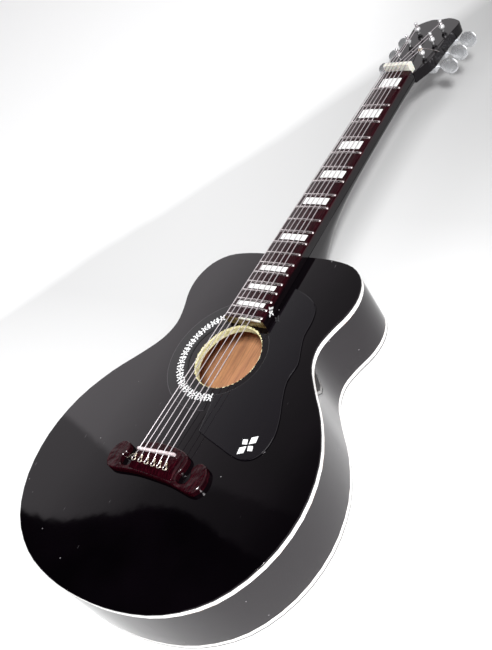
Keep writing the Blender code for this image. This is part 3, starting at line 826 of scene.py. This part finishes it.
CAMERA = Vector((191.83, -142.94, 206.44)) * MM
AIM = (-1.0567, 0.6762, 0.6657)      # azimuth, fall and roll of the view, in radians
LENS = 52.43
SHIFT = (0.040, 0.0077)


def camera():
    azimuth, fall, roll = AIM
    ahead = Vector((math.sin(azimuth) * math.cos(fall), math.cos(azimuth) * math.cos(fall),
                    -math.sin(fall)))
    right = ahead.cross(Vector((0, 0, 1))).normalized()
    down = ahead.cross(right)
    c, s = math.cos(roll), math.sin(roll)
    right, down = right * c + down * s, down * c - right * s
    data = bpy.data.cameras.new("camera")
    data.lens = LENS
    data.sensor_width = 36.0
    data.shift_x, data.shift_y = SHIFT
    data.clip_start = 0.01
    data.clip_end = 20.0
    obj = bpy.data.objects.new("camera", data)
    bpy.context.scene.collection.objects.link(obj)
    turn = Matrix((right, -down, -ahead)).transposed()
    obj.matrix_world = Matrix.Translation(CAMERA) @ turn.to_4x4()
    bpy.context.scene.camera = obj


def area(name, place, target, size, power):
    data = bpy.data.lights.new(name, "AREA")
    data.shape = "DISK"
    data.size = size
    data.energy = power
    obj = bpy.data.objects.new(name, data)
    bpy.context.scene.collection.objects.link(obj)
    obj.location = place
    obj.rotation_mode = "QUATERNION"
    obj.rotation_quaternion = (Vector(target) - Vector(place)).to_track_quat("-Z", "Y")


def floor():
    """A pale surface, brightest near the tail and dimmer past the head, both painted into its colour
    as light and shade.
    """
    m = Nodes("floor_pale")
    size = 3.0
    mesh = bpy.data.meshes.new("floor")
    corners = [(-size, -size, 0), (size, -size, 0), (size, size, 0), (-size, size, 0)]
    mesh.from_pydata(corners, [], [(0, 1, 2, 3)])
    obj = bpy.data.objects.new("floor", mesh)
    bpy.context.scene.collection.objects.link(obj)
    obj.location = (0, 0, -0.00002)
    x, y, z = m.axes()
    # the pale sheet ends on a slant beside the neck; painted shade makes the floor colour dimmer
    # towards the far right
    slant = m.math("SUBTRACT", m.math("MULTIPLY", m.math("ADD", x, 152.0), 0.775),
                   m.math("MULTIPLY", m.math("ADD", y, 25.0), 0.63))
    slant = m.math("ADD", slant, m.math("MULTIPLY", m.noise(0.02, 2.0), 10.0))
    sheet = m.span(slant, -2.0, 9.0, 1.0, 0.72)
    # painted light: the floor colour is brightened near the tail and at the lower right
    near = m.span(y, -90.0, -10.0, 1.35, 1.0)
    right = m.span(x, -20.0, 40.0, 1.0, 1.3)
    low = m.span(y, -30.0, 40.0, 1.0, 0.0)
    lift = m.math("ADD", 1.0, m.math("MULTIPLY", m.math("SUBTRACT", right, 1.0), low))
    # painted shade: the floor colour is dimmed past the head
    painted_shade = m.math("MULTIPLY", m.span(y, 5.0, 165.0), m.span(x, -85.0, 5.0))
    tone = m.math("MULTIPLY", m.math("MULTIPLY", sheet, m.math("MULTIPLY", near, lift)),
                  m.span(painted_shade, 0.0, 1.0, 1.0, 0.50))
    m.colour(m.ramp(tone, (0.0, (0.0, 0.0, 0.0)), (1.0, (0.93, 0.935, 0.935))))
    m.set(Roughness=0.6)
    m.bump(m.noise(1.2, 3.0), 0.05, 0.05)
    mesh.materials.append(m.material)


def world():
    """A pale studio whose walls are darker low down on the side that the top mirrors."""
    scene = bpy.context.scene
    scene.world = bpy.data.worlds.new("studio")
    scene.world.use_nodes = True
    tree = scene.world.node_tree
    m = Nodes.__new__(Nodes)
    m.tree = tree
    back = tree.nodes["Background"]
    direction = m.new("ShaderNodeTexCoord").outputs["Generated"]
    split = m.new("ShaderNodeSeparateXYZ")
    m.link(direction, split.inputs[0])
    dx, dy, dz = split.outputs
    rise = CAMERA.z / MM - TOP
    up = m.math("MAXIMUM", dz, 0.02)
    u = m.math("ADD", m.math("MULTIPLY", m.math("DIVIDE", dx, up), rise), CAMERA.x / MM)
    v = m.math("ADD", m.math("MULTIPLY", m.math("DIVIDE", dy, up), rise), CAMERA.y / MM - TAIL)
    place = m.new("ShaderNodeCombineXYZ")
    m.link(u, place.inputs[0])
    m.link(v, place.inputs[1])
    noise = m.new("ShaderNodeTexNoise")
    m.link(place.outputs[0], noise.inputs["Vector"])
    noise.inputs["Scale"].default_value = 0.25
    noise.inputs["Detail"].default_value = 2.5
    wave = m.math("MULTIPLY", m.math("SUBTRACT", noise.outputs["Fac"], 0.5), 3.0)
    # u and v say where on the top a direction is mirrored; below a wavy line the room is dark
    line = m.new("ShaderNodeFloatCurve")
    line.inputs[0].default_value = 1.0
    m.link(m.span(u, -60.0, 60.0), line.inputs[1])
    points = line.mapping.curves[0].points
    shape = ((0.0, 0.150), (0.155, 0.152), (0.30, 0.168), (0.39, 0.219), (0.488, 0.264),
             (0.526, 0.301), (0.57, 0.313), (0.63, 0.322), (0.70, 0.315), (0.755, 0.299),
             (0.80, 0.289), (1.0, 0.26))
    for k, (a, b) in enumerate(shape):
        if k < 2:
            points[k].location = (a, b)
        else:
            points.new(a, b)
    line.mapping.update()
    edge = m.math("ADD", m.math("MULTIPLY", line.outputs[0], 100.0), wave)
    lit = m.span(m.math("SUBTRACT", v, edge), -0.5, 0.7)
    across = m.ramp(m.span(m.math("ADD", u, m.math("MULTIPLY", v, -0.10)), -60.0, 60.0),
                    (0.0, 1.45), (0.20, 1.40), (0.36, 0.95), (0.50, 0.42), (0.64, 0.26),
                    (0.78, 0.16), (0.85, 0.07), (0.92, 0.03))
    crease = m.span(u, -49.0, -21.0, 48.6, 41.2)
    low = m.span(m.math("SUBTRACT", v, crease), -1.0, 1.0, 0.50, 1.0)
    value = m.math("MULTIPLY", m.math("MULTIPLY", across, low), lit)
    above = m.math("GREATER_THAN", dz, 0.03)
    far = m.math("LESS_THAN", dx, 0.0)
    inside = m.math("MULTIPLY", above, far)
    strength = m.mix_value(inside, 0.80, value)
    m.put(back.inputs["Strength"], strength)
    back.inputs["Color"].default_value = (1.0, 0.985, 1.0, 1.0)


# ---------------------------------------------------------------- the model

MATERIALS = {
    "soundboard": lacquer("lacquer_top", "top"),
    "back": lacquer("lacquer_back", "back"),
    "rim": lacquer("lacquer_side", "rim"),
    "neck": lacquer("lacquer_neck", shine=0.24),
    "top_binding": binding_white(),
    "saddle": saddle_white(),
    "nut": cream_plastic(),
    "fretboard": rosewood("rosewood_board", bare_end=True),
    "bridge": rosewood("rosewood_bridge", lumpy=True),
    "pickguard": gloss_plastic("sheet_black"),
    "rosette": film(),
    "neck_block": plain_wood("block_wood"),
    "fret": metal("fret_metal", (0.80, 0.74, 0.74), 0.22),
    "string": metal("string_metal", (0.64, 0.59, 0.61), 0.28, 0.12, 3.0),
    "post": metal("plated_metal", (0.86, 0.86, 0.87), 0.16, 0.08, metallic=0.72),
    "key": metal("key_metal", (0.74, 0.75, 0.77), 0.20, 0.20, 0.35, 0.75),
}
MATERIALS["back_binding"] = MATERIALS["top_binding"]
MATERIALS["tail_block"] = MATERIALS["neck_block"]
MATERIALS["housing"] = MATERIALS["key"]
PEARL = print_white("pearl_white", True)
PRINT = print_white("print_white")
GOLD = metal("gold_wire", (0.95, 0.84, 0.68), 0.24, 0.12, 3.0)
# painted shade for the string holes
HOLE_SHADE = painted_shade_black("hole_painted_shade")
BEVELS = {"soundboard": 0.16, "bridge": 0.42, "nut": 0.3, "pickguard": 0.12, "neck": 0.35,
          "fretboard": 0.18, "saddle": 0.25, "back": 0.2, "housing": 0.2}

for name, node in NODES.items():
    kind = name if name in MATERIALS else name.split("_")[0]
    node.data.materials.clear()
    node.data.materials.append(MATERIALS[kind])
    soften(node, BEVELS.get(kind, 0.0), 3 if kind in ("bridge", "nut", "neck") else 2)

inlays(PEARL)
lace(PRINT)
ornament(PRINT)
board_end(cream_plastic())
string_ends(GOLD, HOLE_SHADE)
post_knot(GOLD)
cover_screws(MATERIALS["post"])

floor()
world()
camera()
area("key", (0.49, -0.30, 0.62), (0, -0.02, 0.01), 0.12, 7.5)
area("overhead", (0.30, 0.10, 1.2), (0, 0, 0), 0.7, 4.0)

scene = bpy.context.scene
scene.view_settings.view_transform = "Standard"
scene.view_settings.look = "None"
